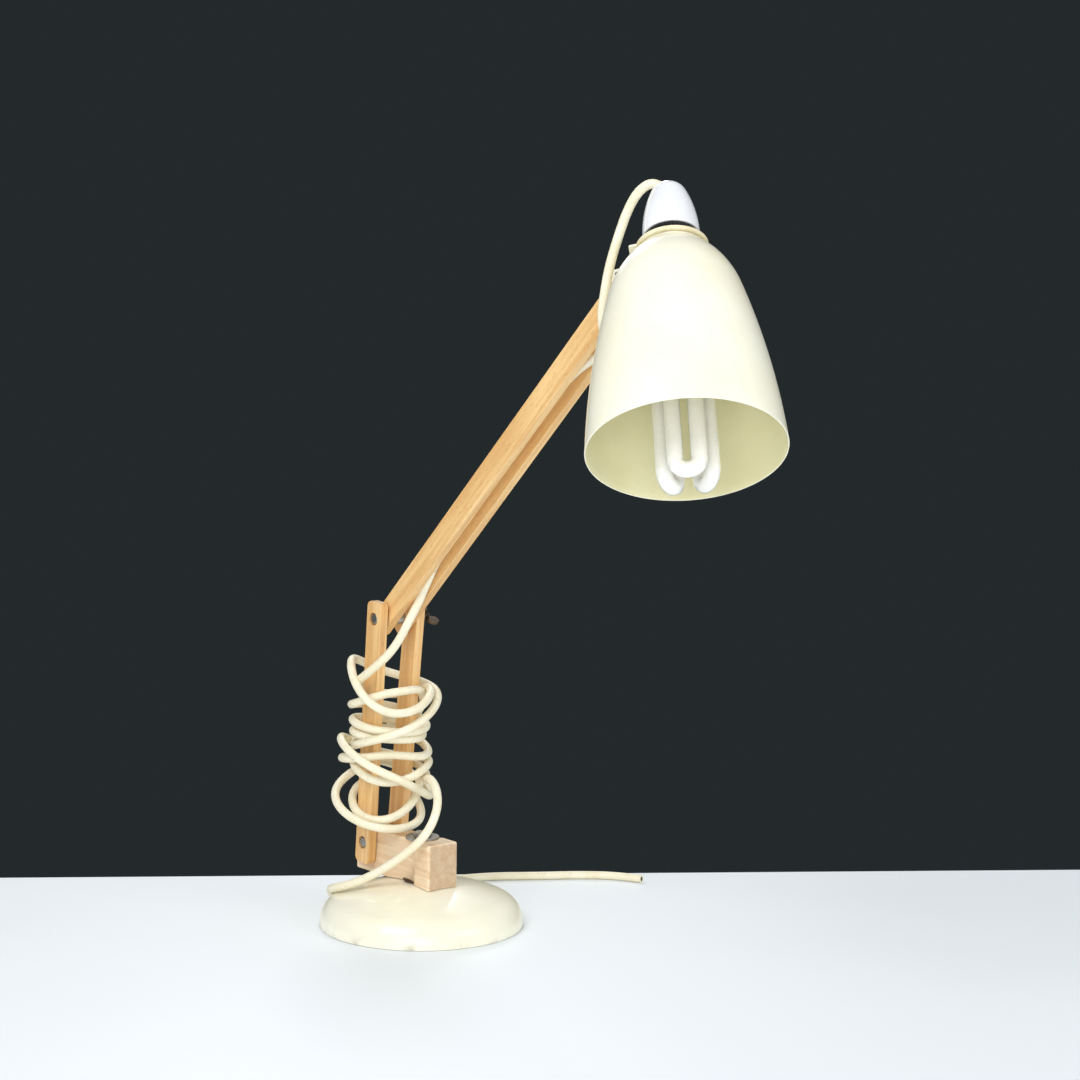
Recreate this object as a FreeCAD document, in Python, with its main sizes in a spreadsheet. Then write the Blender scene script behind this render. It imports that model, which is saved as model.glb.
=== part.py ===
import FreeCAD, Part
import math
import os

import Sketcher
from FreeCAD import Placement, Rotation, Vector

# A desk lamp on two pairs of wooden bars: a domed steel base, a turning wooden block, a lower and an
# upper arm held by friction at their bolts, and a tilting steel shade with its lampholder and bulb.
# Millimetres and degrees. The origin is the centre of the base's underside, +Z is up, and +X is the
# side that the arms reach to. The near bars are on the -Y side and the far bars on the +Y side.

os.makedirs("parts", exist_ok=True)
doc = FreeCAD.newDocument("lamp")

SIZES = {
    "base_radius": 85.0,
    "base_height": 37.0,
    "rim_height": 3.0,
    "shoulder_radius": 22.0,
    "shell_wall": 1.2,
    "shell_lift": 0.4,
    "felt_thickness": 2.0,
    "felt_gap": 1.2,
    "ballast_gap": 6.6,
    "ballast_lift": 0.3,
    "ballast_height": 13.0,
    "boss_radius": 20.0,
    "boss_gap": 1.3,
    "nut_recess_radius": 9.5,
    "nut_recess_depth": 9.0,
    "swivel_radius": 4.0,
    "swivel_head_radius": 7.5,
    "swivel_head_height": 3.6,
    "swivel_washer_radius": 14.0,
    "swivel_washer_thickness": 1.5,
    "swivel_nut_radius": 7.5,
    "swivel_nut_height": 6.5,
    "spring_washer_radius": 7.0,
    "spring_washer_thickness": 1.8,
    "friction_washer_radius": 15.0,
    "friction_washer_thickness": 1.5,
    "shaft_clearance": 0.3,
    "face_clearance": 0.15,
    "block_gap": 0.6,
    "block_rear": 79.0,
    "block_front": 29.0,
    "block_bottom": 34.3,
    "block_top": 72.5,
    "neck_width": 22.8,
    "head_width": 30.6,
    "cove_radius": 27.0,
    "cove_end": 10.0,
    "block_corner": 3.0,
    "block_edge": 1.6,
    "bar_width": 19.3,
    "bar_thickness": 8.0,
    "bar_corner": 5.0,
    "bar_edge": 0.8,
    "bolt_radius": 3.0,
    "bolt_head_radius": 4.3,
    "bolt_head_height": 2.4,
    "recess_radius": 5.4,
    "recess_depth": 3.0,
    "nut_radius": 5.7,
    "nut_height": 5.0,
    "bolt_end": 1.5,
    "washer_radius": 8.0,
    "washer_thickness": 1.2,
    "pivot_back": 57.5,
    "pivot_height": 61.0,
    "pivot_space": 0.8,
    "elbow_space": 1.5,
    "arm_space": 11.4,
    "sleeve_radius": 6.0,
    "lower_length": 193.4,
    "lower_lean": 5.2,
    "lower_foot": 18.0,
    "lower_top": 14.5,
    "upper_reach": 384.0,
    "upper_raise": 43.5,
    "upper_tail": 14.5,
    "upper_end": 10.0,
    "wing_hub_radius": 6.0,
    "wing_hub_height": 7.0,
    "wing_ear_radius": 5.5,
    "wing_ear_reach": 9.5,
    "wing_ear_rise": 7.5,
    "wing_ear_thickness": 2.2,
    "wing_turn": 25.0,
    "collar_ahead": 41.8,
    "collar_side": 7.0,
    "collar_above": 34.6,
    "head_turn": 35.5,
    "head_tilt": 33.2,
    "strip_thickness": 1.6,
    "plate_rise": 3.2,
    "ring_plate_radius": 21.5,
    "flange_start": 12.8,
    "flange_fold": 7.9,
    "flange_side": 12.0,
    "flange_corner_back": 17.5,
    "flange_corner_out": 26.0,
    "flange_end": 37.0,
    "ear_start": 20.0,
    "ear_clear": 27.5,
    "ear_step": 1.5,
    "ear_peak_back": 56.0,
    "ear_peak_rise": 10.9,
    "eye_radius": 8.5,
    "rivet_back": 51.5,
    "rivet_rise": 5.6,
    "rivet_head_radius": 2.0,
    "seating_radius": 26.3,
    "shade_wall": 0.8,
    "shade_hole": 17.3,
    "shade_flat": 22.0,
    "collar_radius": 25.4,
    "collar_drop": 2.6,
    "shoulder_reach": 48.2,
    "shoulder_drop": 40.0,
    "shade_shoulder_curve": 78.0,
    "shade_side_curve": 619.0,
    "mouth_radius": 70.0,
    "mouth_drop": 167.0,
    "shank_radius": 16.6,
    "shank_wall": 2.8,
    "shank_length": 30.0,
    "body_radius": 19.6,
    "body_top": 11.6,
    "body_floor": 4.0,
    "ring_width": 4.6,
    "ring_height": 6.0,
    "cap_radius": 20.7,
    "cap_height": 46.8,
    "cap_side_curve": 95.6,
    "cap_crown": 14.4,
    "cap_crown_rise": 9.4,
    "cap_crown_reach": 13.5,
    "cap_wall": 1.8,
    "cord_radius": 3.5,
    "cord_hole_radius": 4.2,
    "grip_radius": 5.0,
    "grip_length": 7.0,
    "terminal_radius": 12.0,
    "terminal_height": 20.0,
    "pin_radius": 1.4,
    "pin_spread": 4.6,
    "bulb_cap_radius": 11.0,
    "bulb_cap_top": 3.0,
    "bulb_cap_length": 26.0,
    "bayonet_reach": 13.3,
    "bayonet_drop": 9.1,
    "bayonet_radius": 1.0,
    "housing_neck": 12.0,
    "housing_neck_length": 6.0,
    "housing_radius": 23.0,
    "housing_skirt": 22.0,
    "housing_end": 92.0,
    "bulb_leg_radius": 5.7,
    "bulb_leg_circle": 16.5,
    "bulb_tip": 195.0,
}

sheet = doc.addObject("Spreadsheet::Sheet", "Sizes")
for row, (alias, number) in enumerate(SIZES.items(), start=1):
    sheet.set(f"A{row}", alias)
    sheet.set(f"B{row}", str(number))
    sheet.setAlias(f"B{row}", alias)
doc.recompute()

UP = Vector(0, 0, 1)
FAR = Vector(0, 1, 0)
NEAR = Vector(0, -1, 0)


def value(expression):
    """The number that an expression on the sheet gives now."""
    return float(sheet.evalExpression(expression))


def size(alias):
    return float(sheet.get(alias))


def turned_by(x_axis, y_axis, z_axis, origin):
    """A placement whose own axes point along the three given directions."""
    matrix = FreeCAD.Matrix(
        x_axis.x, y_axis.x, z_axis.x, origin.x,
        x_axis.y, y_axis.y, z_axis.y, origin.y,
        x_axis.z, y_axis.z, z_axis.z, origin.z,
        0, 0, 0, 1)
    return Placement(matrix)


def along(origin, direction):
    """A placement at origin whose own Z points along direction."""
    return Placement(origin, Rotation(UP, direction))


# Small helpers for the sketches and the turned and flat pieces


def new_body(label):
    body = doc.addObject("PartDesign::Body", label)
    body.Label = label
    return body


def new_sketch(body, role, height=None):
    """A sketch on one of the body's own planes, raised along its normal where height is given."""
    sketch = body.newObject("Sketcher::SketchObject", f"{body.Label}_sketch")
    plane = next(feature for feature in body.Origin.OriginFeatures if feature.Role == role)
    sketch.AttachmentSupport = [(plane, "")]
    sketch.MapMode = "FlatFace"
    if height is not None:
        sketch.setExpression("AttachmentOffset.Base.z", height)
    return sketch


def hold(sketch, kind, edge, end, expression):
    """Ties one coordinate of an edge's end to an expression."""
    if expression == "0":
        axis = -2 if kind == "DistanceX" else -1
        sketch.addConstraint(Sketcher.Constraint("PointOnObject", edge, end, axis))
        return
    spot = Sketcher.Constraint(kind, -1, 1, edge, end, value(expression))
    index = sketch.addConstraint(spot)
    sketch.setExpression(f"Constraints[{index}]", expression)


def outline(sketch, corners):
    """A closed profile through corners. A corner that also has a radius starts an arc, whose centre
    lies on the left of the way to the next corner for a side of 1 and on the right for -1."""
    spots = [Vector(value(corner[0]), value(corner[1]), 0) for corner in corners]
    ends = []
    for index, corner in enumerate(corners):
        spot = spots[index]
        following = spots[(index + 1) % len(spots)]
        if len(corner) == 2:
            edge = sketch.addGeometry(Part.LineSegment(spot, following))
            ends.append((edge, 1, 2))
            continue
        radius = value(corner[2])
        chord = following - spot
        across = Vector(-chord.y, chord.x, 0).normalize()
        rise = math.sqrt(radius ** 2 - (chord.Length / 2) ** 2)
        centre = (spot + following) * 0.5 + across * (rise * corner[3])
        first, last = (spot, following) if corner[3] > 0 else (following, spot)
        angles = [math.atan2(point.y - centre.y, point.x - centre.x) for point in (first, last)]
        edge = sketch.addGeometry(Part.ArcOfCircle(Part.Circle(centre, UP, radius), *angles))
        index = sketch.addConstraint(Sketcher.Constraint("Radius", edge, radius))
        sketch.setExpression(f"Constraints[{index}]", corner[2])
        ends.append((edge, 1, 2) if corner[3] > 0 else (edge, 2, 1))
    for index, (edge, start, finish) in enumerate(ends):
        following, following_start, _ = ends[(index + 1) % len(ends)]
        sketch.addConstraint(Sketcher.Constraint("Coincident", edge, finish, following, following_start))
        hold(sketch, "DistanceX", edge, start, corners[index][0])
        hold(sketch, "DistanceY", edge, start, corners[index][1])


def circle(sketch, x, y, radius):
    edge = sketch.addGeometry(Part.Circle(Vector(value(x), value(y), 0), UP, value(radius)))
    hold(sketch, "DistanceX", edge, 3, x)
    hold(sketch, "DistanceY", edge, 3, y)
    index = sketch.addConstraint(Sketcher.Constraint("Radius", edge, value(radius)))
    sketch.setExpression(f"Constraints[{index}]", radius)


def pad(body, sketch, length):
    feature = body.newObject("PartDesign::Pad", f"{body.Label}_pad")
    feature.Profile = sketch
    feature.setExpression("Length", length)
    doc.recompute()
    return feature


def cut(body, kind, sketch, length=None):
    """A pocket of a given length or a full groove, which has to take something away."""
    before = body.Shape.Volume
    feature = body.newObject(kind, f"{body.Label}_cut")
    feature.Profile = sketch
    if length is None:
        feature.ReferenceAxis = (sketch, ["V_Axis"])
        feature.Angle = 360
    else:
        feature.setExpression("Length", length)
    doc.recompute()
    if body.Shape.Volume > before - 1:
        raise RuntimeError(f"the cut in {body.Label} takes nothing away")
    return feature


def turned(label, corners):
    """A piece turned about its own Z, from its profile as radius and height."""
    body = new_body(label)
    sketch = new_sketch(body, "XZ_Plane")
    outline(sketch, corners)
    feature = body.newObject("PartDesign::Revolution", f"{label}_turn")
    feature.Profile = sketch
    feature.ReferenceAxis = (sketch, ["V_Axis"])
    feature.Angle = 360
    doc.recompute()
    return body


def round_edges(body, radius, wanted):
    """Rounds the edges of the body's last feature that wanted(edge) picks."""
    names = [f"Edge{index}" for index, edge in enumerate(body.Shape.Edges, start=1) if wanted(edge)]
    base = body.Tip
    feature = body.newObject("PartDesign::Fillet", f"{body.Label}_round")
    feature.Base = (base, names)
    feature.setExpression("Radius", radius)
    doc.recompute()


def is_upright(edge):
    """A straight edge along the body's own Z."""
    return isinstance(edge.Curve, Part.Line) and abs(edge.Curve.Direction.z) > 0.999


def cylinder(radius, height, placement=None):
    piece = doc.addObject("Part::Cylinder", "cylinder")
    piece.setExpression("Radius", radius)
    piece.setExpression("Height", height)
    if placement is not None:
        piece.Placement = placement
    return piece


def ring(radius, bore, height, placement):
    """A plain washer or spacer: a disc with a bore."""
    washer = doc.addObject("Part::Cut", "ring")
    washer.Base = cylinder(radius, height)
    washer.Tool = cylinder(bore, height)
    washer.Placement = placement
    return washer


def group(label, pieces):
    """Alike loose pieces under one name."""
    holder = doc.addObject("Part::Compound", label)
    holder.Label = label
    holder.Links = pieces
    return holder


def plain(label, shape, placement=None):
    """A piece whose shape is worked out here from the sheet."""
    piece = doc.addObject("Part::Feature", label)
    piece.Label = label
    piece.Shape = shape
    if placement is not None:
        piece.Placement = placement
    return piece


def bolt(label, head_radius, head_height, shank_radius, length, placement):
    """A bolt with its head above the placement's origin and its shank along the placement's Z."""
    head = cylinder(head_radius, head_height, Placement(Vector(0, 0, -value(head_height)), Rotation()))
    rounded = doc.addObject("Part::Fillet", "head")
    rounded.Base = head
    doc.recompute()
    rim = [index for index, edge in enumerate(head.Shape.Edges, start=1)
           if isinstance(edge.Curve, Part.Circle) and edge.BoundBox.ZMax < -value(head_height) + 0.01]
    crown = value(head_height) * 0.45
    rounded.Edges = [(index, crown, crown) for index in rim]
    fused = doc.addObject("Part::MultiFuse", label)
    fused.Label = label
    fused.Shapes = [rounded, cylinder(shank_radius, length)]
    fused.Placement = placement
    return fused


def hex_nut(label, radius, bore, height, placement):
    prism = doc.addObject("Part::Prism", "prism")
    prism.Polygon = 6
    prism.setExpression("Circumradius", radius)
    prism.setExpression("Height", height)
    nut = doc.addObject("Part::Cut", label)
    nut.Label = label
    nut.Base = prism
    nut.Tool = cylinder(bore, height)
    nut.Placement = placement
    return nut


# The base: a spun steel dome over a cast weight, with felt under it. The dome is a flat crown arc
# that runs into a tight shoulder arc.

REACH = "(Sizes.base_radius - Sizes.shoulder_radius)"
RISE = "(Sizes.base_height - Sizes.rim_height)"
CROWN = f"(({REACH}^2 + {RISE}^2 - Sizes.shoulder_radius^2) / (2 * ({RISE} - Sizes.shoulder_radius)))"
CROWN_CENTRE = f"(Sizes.base_height - {CROWN})"
SPAN = f"({CROWN} - Sizes.shoulder_radius)"


def dome_join(inset):
    """Where the crown arc meets the shoulder arc, inset from the outer surface."""
    radius = f"(Sizes.shoulder_radius - {inset})"
    return (f"{REACH} + {radius} * {REACH} / {SPAN}",
            f"Sizes.rim_height + {radius} * (Sizes.rim_height - {CROWN_CENTRE}) / {SPAN}")


def dome_rim(inset):
    """The radius of the shoulder at the shell's lower edge."""
    return (f"{REACH} + sqrt((Sizes.shoulder_radius - {inset})^2"
            f" - (Sizes.rim_height - Sizes.shell_lift)^2)")


def dome_height(radius, inset):
    """The height of the crown at a radius, inset from the outer surface."""
    return f"({CROWN_CENTRE} + sqrt(({CROWN} - {inset})^2 - ({radius})^2))"


SWIVEL_BORE = "(Sizes.swivel_radius + Sizes.shaft_clearance)"

turned("base_shell", [
    (SWIVEL_BORE, dome_height(SWIVEL_BORE, "0"), CROWN, -1),
    (*dome_join("0"), "Sizes.shoulder_radius", -1),
    (dome_rim("0"), "Sizes.shell_lift"),
    (dome_rim("Sizes.shell_wall"), "Sizes.shell_lift", "Sizes.shoulder_radius - Sizes.shell_wall", 1),
    (*dome_join("Sizes.shell_wall"), f"{CROWN} - Sizes.shell_wall", 1),
    (SWIVEL_BORE, dome_height(SWIVEL_BORE, "Sizes.shell_wall")),
])

FELT_RADIUS = f"({dome_rim('Sizes.shell_wall')} - Sizes.felt_gap)"
felt = new_body("base_felt")
felt_sketch = new_sketch(felt, "XY_Plane")
circle(felt_sketch, "0", "0", FELT_RADIUS)
pad(felt, felt_sketch, "Sizes.felt_thickness")

BALLAST_LOW = "(Sizes.felt_thickness + Sizes.ballast_lift)"
BALLAST_TOP = f"({BALLAST_LOW} + Sizes.ballast_height)"
BALLAST_RADIUS = "(Sizes.base_radius - Sizes.shell_wall - Sizes.ballast_gap)"
BOSS_TOP = f"({dome_height('Sizes.boss_radius', 'Sizes.shell_wall')} - Sizes.boss_gap)"
RECESS_TOP = f"({BALLAST_LOW} + Sizes.nut_recess_depth)"
turned("ballast_weight", [
    ("Sizes.nut_recess_radius", BALLAST_LOW),
    (BALLAST_RADIUS, BALLAST_LOW),
    (BALLAST_RADIUS, BALLAST_TOP),
    ("Sizes.boss_radius", BALLAST_TOP),
    ("Sizes.boss_radius", BOSS_TOP),
    (SWIVEL_BORE, BOSS_TOP),
    (SWIVEL_BORE, RECESS_TOP),
    ("Sizes.nut_recess_radius", RECESS_TOP),
])

# The swivel: one bolt clamps the block to the dome and the weight, over a friction washer.

HEAD_SEAT = "(Sizes.block_top + Sizes.face_clearance + Sizes.swivel_washer_thickness)"
NUT_TOP = f"({RECESS_TOP} - Sizes.spring_washer_thickness - Sizes.face_clearance)"
bolt("swivel_bolt", "Sizes.swivel_head_radius", "Sizes.swivel_head_height", "Sizes.swivel_radius",
     f"{HEAD_SEAT} - {BALLAST_LOW} - Sizes.bolt_end / 2",
     along(Vector(0, 0, value(HEAD_SEAT)), -UP))
hex_nut("swivel_nut", "Sizes.swivel_nut_radius", "Sizes.swivel_radius", "Sizes.swivel_nut_height",
        along(Vector(0, 0, value(NUT_TOP)), -UP))
ring("Sizes.spring_washer_radius", SWIVEL_BORE, "Sizes.spring_washer_thickness",
     along(Vector(0, 0, value(NUT_TOP)), UP)).Label = "swivel_spring_washer"
ring("Sizes.swivel_washer_radius", SWIVEL_BORE, "Sizes.swivel_washer_thickness",
     along(Vector(0, 0, size("block_top") + size("face_clearance")), UP)).Label = "swivel_washer"
ring("Sizes.friction_washer_radius", SWIVEL_BORE, "Sizes.friction_washer_thickness",
     along(Vector(0, 0, size("base_height")), UP)).Label = "swivel_friction_washer"

# The turning block: a neck between the lower bars that flares in a cove to a wider head. Its
# underside is hollowed to the dome, with a seat for the friction washer.

pivot = Vector(-size("pivot_back"), 0, size("pivot_height"))
FLARE = "((Sizes.head_width - Sizes.neck_width) / 2)"
COVE_START = f"(Sizes.cove_end - sqrt(2 * Sizes.cove_radius * {FLARE} - {FLARE}^2))"
NECK = "Sizes.neck_width / 2"
HEAD = "Sizes.head_width / 2"
block = new_body("pivot_block")
block_sketch = new_sketch(block, "XY_Plane", "Sizes.block_bottom")
outline(block_sketch, [
    ("-Sizes.block_rear", f"-{NECK}"),
    (COVE_START, f"-{NECK}", "Sizes.cove_radius", -1),
    ("Sizes.cove_end", f"-{HEAD}"),
    ("Sizes.block_front", f"-{HEAD}"),
    ("Sizes.block_front", HEAD),
    ("Sizes.cove_end", HEAD, "Sizes.cove_radius", -1),
    (COVE_START, NECK),
    ("-Sizes.block_rear", NECK),
])
pad(block, block_sketch, "Sizes.block_top - Sizes.block_bottom")
round_edges(block, "Sizes.block_corner", lambda edge: is_upright(edge) and (
    edge.CenterOfMass.x < 1 - size("block_rear") or edge.CenterOfMass.x > size("block_front") - 1))
round_edges(block, "Sizes.block_edge", lambda edge: (
    edge.BoundBox.ZMin > size("block_top") - 0.01
    or (edge.BoundBox.ZMax < size("block_bottom") + 0.01 and edge.CenterOfMass.x < -60)))

hollow = new_sketch(block, "XZ_Plane")
WASHER_SEAT = "(Sizes.base_height + Sizes.friction_washer_thickness + Sizes.face_clearance)"
SEAT_RADIUS = "(Sizes.friction_washer_radius + 1)"
HOLLOW_RADIUS = "(Sizes.block_rear + Sizes.head_width)"
outline(hollow, [
    ("0", "Sizes.block_bottom - Sizes.head_width"),
    (HOLLOW_RADIUS, "Sizes.block_bottom - Sizes.head_width"),
    (HOLLOW_RADIUS, dome_height(HOLLOW_RADIUS, "(-Sizes.block_gap)"), f"{CROWN} + Sizes.block_gap", 1),
    (SEAT_RADIUS, dome_height(SEAT_RADIUS, "(-Sizes.block_gap)")),
    (SEAT_RADIUS, WASHER_SEAT),
    (SWIVEL_BORE, WASHER_SEAT),
    (SWIVEL_BORE, "Sizes.block_top + 1"),
    ("0", "Sizes.block_top + 1"),
])
cut(block, "PartDesign::Groove", hollow)
pivot_sketch = new_sketch(block, "XZ_Plane", "Sizes.head_width")
circle(pivot_sketch, "-Sizes.pivot_back", "Sizes.pivot_height", "Sizes.bolt_radius + Sizes.shaft_clearance")
cut(block, "PartDesign::Pocket", pivot_sketch, "2 * Sizes.head_width")

# The four bars share one stock. A bar's own X runs from its first bolt to its second, its own Z is
# its thickness, outward from the lamp's middle, and the near bars have recesses for the bolt heads.


def bar(label, foot, length, end, recesses, placement):
    """A bar with a bolt hole at its own origin and at length, and heads sunk at the given places."""
    body = new_body(label)
    sketch = new_sketch(body, "XY_Plane")
    half = "Sizes.bar_width / 2"
    outline(sketch, [
        (f"-{foot}", f"-{half}"),
        (f"{length} + {end}", f"-{half}"),
        (f"{length} + {end}", half),
        (f"-{foot}", half),
    ])
    pad(body, sketch, "Sizes.bar_thickness")
    round_edges(body, "Sizes.bar_corner", is_upright)
    thickness = size("bar_thickness")
    round_edges(body, "Sizes.bar_edge", lambda edge: (
        edge.BoundBox.ZMax < 0.01 or edge.BoundBox.ZMin > thickness - 0.01))
    holes = new_sketch(body, "XY_Plane", "Sizes.bar_thickness")
    for place in ("0", length):
        circle(holes, place, "0", "Sizes.bolt_radius + Sizes.shaft_clearance")
    cut(body, "PartDesign::Pocket", holes, "Sizes.bar_thickness")
    if recesses:
        sunk = new_sketch(body, "XY_Plane", "Sizes.bar_thickness")
        for place in recesses:
            circle(sunk, place, "0", "Sizes.recess_radius")
        cut(body, "PartDesign::Pocket", sunk, "Sizes.recess_depth")
    body.Placement = placement
    return body


lean = math.radians(size("lower_lean"))
raised = math.radians(size("upper_raise"))
lower_way = Vector(math.sin(lean), 0, math.cos(lean))
upper_way = Vector(math.cos(raised), 0, math.sin(raised))
elbow = pivot + lower_way * size("lower_length")
tilt = elbow + upper_way * size("upper_reach")

pivot_inner = size("neck_width") / 2 + size("pivot_space")
upper_inner = size("arm_space") / 2
upper_outer = upper_inner + size("bar_thickness")
elbow_inner = upper_outer + size("elbow_space")
splay = math.asin((elbow_inner - pivot_inner) / size("lower_length"))

for label, out, recesses in (("lower_bar_near", NEAR, ("0", "Sizes.lower_length")),
                             ("lower_bar_far", FAR, ())):
    way = lower_way * math.cos(splay) + out * math.sin(splay)
    face = out * math.cos(splay) - lower_way * math.sin(splay)
    bar(label, "Sizes.lower_foot", "Sizes.lower_length", "Sizes.lower_top", recesses,
        turned_by(way, face.cross(way), face, pivot + out * pivot_inner))
for label, out, recesses in (("upper_bar_near", NEAR, ("Sizes.upper_reach",)),
                             ("upper_bar_far", FAR, ())):
    bar(label, "Sizes.upper_tail", "Sizes.upper_reach", "Sizes.upper_end", recesses,
        turned_by(upper_way, out.cross(upper_way), out, elbow + out * upper_inner))

# The bolts run along Y, with their heads sunk in the near bars and their nuts on the far side.

BOLT_BORE = "(Sizes.bolt_radius + Sizes.shaft_clearance)"
gap = size("face_clearance")
washer_gap = size("washer_thickness") + 2 * gap


def cross_bolt(label, spot, outer, nut_height):
    """A bolt along +Y through spot; outer is the distance of the bars' outer faces from the middle."""
    seat = outer - size("recess_depth") + gap
    far_end = outer + washer_gap + value(nut_height) + size("bolt_end")
    return bolt(label, "Sizes.bolt_head_radius", "Sizes.bolt_head_height", "Sizes.bolt_radius",
                f"{seat + far_end}", along(spot + NEAR * seat, FAR))


def cross_washer(spot, start, bore=BOLT_BORE, thickness="Sizes.washer_thickness", out=FAR):
    return ring("Sizes.washer_radius", bore, thickness, along(spot + out * start, out))


pivot_outer = pivot_inner + size("bar_thickness")
elbow_outer = elbow_inner + size("bar_thickness")
cross_bolt("lower_pivot_bolt", pivot, pivot_outer, "Sizes.nut_height")
hex_nut("lower_pivot_nut", "Sizes.nut_radius", "Sizes.bolt_radius", "Sizes.nut_height",
        along(pivot + FAR * (pivot_outer + washer_gap), FAR))
thin = "Sizes.pivot_space - 2 * Sizes.face_clearance"
pivot_washers = [cross_washer(pivot, size("neck_width") / 2 + gap, thickness=thin, out=out)
                 for out in (NEAR, FAR)]
pivot_washers.append(cross_washer(pivot, pivot_outer + gap))
group("lower_pivot_washers", pivot_washers)

cross_bolt("elbow_bolt", elbow, elbow_outer, "Sizes.wing_hub_height")
cross_washer(elbow, elbow_outer + gap).Label = "elbow_outer_washer"
group("elbow_washers", [cross_washer(elbow, upper_outer + gap, out=out) for out in (NEAR, FAR)])
sleeve_length = "Sizes.arm_space - 2 * Sizes.face_clearance"
ring("Sizes.sleeve_radius", BOLT_BORE, sleeve_length,
     along(elbow + NEAR * (upper_inner - gap), FAR)).Label = "elbow_sleeve"

cross_bolt("head_bolt", tilt, upper_outer, "Sizes.wing_hub_height")
cross_washer(tilt, upper_outer + gap).Label = "head_outer_washer"
spacer = "(Sizes.arm_space - Sizes.strip_thickness) / 2 - 2 * Sizes.face_clearance"
group("head_spacers", [
    ring("Sizes.sleeve_radius", BOLT_BORE, spacer,
         along(tilt + out * (size("strip_thickness") / 2 + gap), out)) for out in (NEAR, FAR)])


def wing_nut(label, spot, start):
    """A wing nut that turns on a bolt along +Y: a tapered hub with two round ears."""
    hub_radius = size("wing_hub_radius")
    reach, rise, thick = size("wing_ear_reach"), size("wing_ear_rise"), size("wing_ear_thickness")
    hub_end = 0.8 * hub_radius
    web_low = 0.4 * rise
    shape = Part.makeCone(hub_radius, hub_end, size("wing_hub_height"))
    for side in (-1, 1):
        ear = Part.makeCylinder(size("wing_ear_radius"), thick, Vector(side * reach, -thick / 2, rise), FAR)
        web = Part.makeBox(reach, thick, rise - web_low, Vector(min(side, 0) * reach, -thick / 2, web_low))
        shape = shape.fuse([ear, web])
    bore = Part.makeCylinder(size("bolt_radius") + gap, 2 * size("wing_hub_height") + rise)
    turn = Placement(Vector(), Rotation(UP, size("wing_turn")))
    return plain(label, shape.cut(bore).removeSplitter(), along(spot + FAR * start, FAR).multiply(turn))


wing_nut("elbow_wing_nut", elbow, elbow_outer + washer_gap)
wing_nut("head_wing_nut", tilt, upper_outer + washer_gap)

# The head leans out of the arms' plane, because its steel bracket is bent. A head piece's own Z runs
# down the shade's axis, and its origin is at the top of the shade's collar.

turn = math.radians(size("head_turn"))
droop = math.radians(size("head_tilt"))
axis = Vector(math.sin(droop) * math.cos(turn), -math.sin(droop) * math.sin(turn), -math.cos(droop))
fold = axis.cross(FAR).normalize()
outward = axis.cross(fold)
collar = tilt + Vector(size("collar_ahead"), size("collar_side"), size("collar_above"))
head_place = turned_by(fold.cross(axis), fold, axis, collar)

# The bracket is bent from one sheet: a ring round the lampholder with a flat flange beside it, and an
# ear that is folded down from the flange into the gap between the upper bars. The flange's corners
# are given by their way along the fold and outward, the ear's by their way along the fold and down
# the shade's axis, each with the length that the corner's rounding takes from its sides.

strip = size("strip_thickness")
plate_top = -size("plate_rise") - strip


def corner_arc(start, corner, finish):
    """The arc from start to finish that is tangent to the lines from both to the corner between."""
    before = (corner - start).normalize()
    after = (finish - corner).normalize()
    half_turn = before.getAngle(after) / 2
    radius = (corner - start).Length / math.tan(half_turn)
    inward = (after - before).normalize()
    middle = corner + inward * (radius / math.cos(half_turn) - radius)
    return Part.Arc(start, middle, finish).toShape(), radius


def sheet_metal(corners, direction):
    """A flat piece with rounded corners, grown by the sheet's thickness along direction."""
    points = [corner[0] for corner in corners]
    edges = []
    ends = []
    for index, (point, rounding) in enumerate(corners):
        following = points[(index + 1) % len(points)]
        into = point + (points[index - 1] - point).normalize() * rounding
        out_of = point + (following - point).normalize() * rounding
        edges.append(corner_arc(into, point, out_of)[0])
        ends.append((into, out_of))
    for index, (_, out_of) in enumerate(ends):
        edges.append(Part.makeLine(out_of, ends[(index + 1) % len(ends)][0]))
    return Part.Face(Part.Wire(Part.__sortEdges__(edges))).extrude(direction * strip)


def on_flange(along_fold, out):
    return collar + axis * plate_top + fold * along_fold + outward * out


def on_ear(along_fold, down):
    spot = collar + fold * along_fold + axis * down
    return spot + outward * ((-strip / 2 - spot.y) / outward.y)


small_round = 0.4 * strip
round_corner = strip
flange_end = size("flange_end")
flange = sheet_metal([
    (on_flange(-strip, size("flange_start")), small_round),
    (on_flange(-size("flange_corner_back"), size("flange_corner_out")), round_corner),
    (on_flange(-flange_end, size("flange_fold")), 0.25 * strip),
    (on_flange(-size("flange_side"), size("flange_fold")), small_round),
], axis)
peak = -size("ear_peak_rise")
eye = size("eye_radius")
eye_spot = (tilt - collar).dot(fold)
eye_depth = (tilt - collar).dot(axis)
ear = sheet_metal([
    (on_ear(-size("ear_start"), plate_top), small_round),
    (on_ear(-flange_end, plate_top), 0.5 * strip),
    (on_ear(-size("ear_peak_back"), peak), round_corner),
    (on_ear(eye_spot - eye, peak + 2 * strip), round_corner),
    (on_ear(eye_spot - eye, eye_depth + eye), 0.8 * eye),
    (on_ear(eye_spot + eye, eye_depth + eye), 0.8 * eye),
    (on_ear(-flange_end, eye_depth), round_corner),
    (on_ear(-size("ear_clear"), plate_top + size("ear_step")), 0.5 * strip),
], FAR)
disc = Part.makeCylinder(size("ring_plate_radius"), strip, collar + axis * plate_top, axis)
bolt_bore = size("bolt_radius") + size("shaft_clearance")
bracket_shape = disc.fuse([flange, ear]).cut([
    Part.makeCylinder(size("shade_hole"), 4 * strip, collar + axis * (plate_top - strip), axis),
    Part.makeCylinder(bolt_bore, 4 * strip, tilt + NEAR * (2 * strip), FAR),
])
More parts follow.
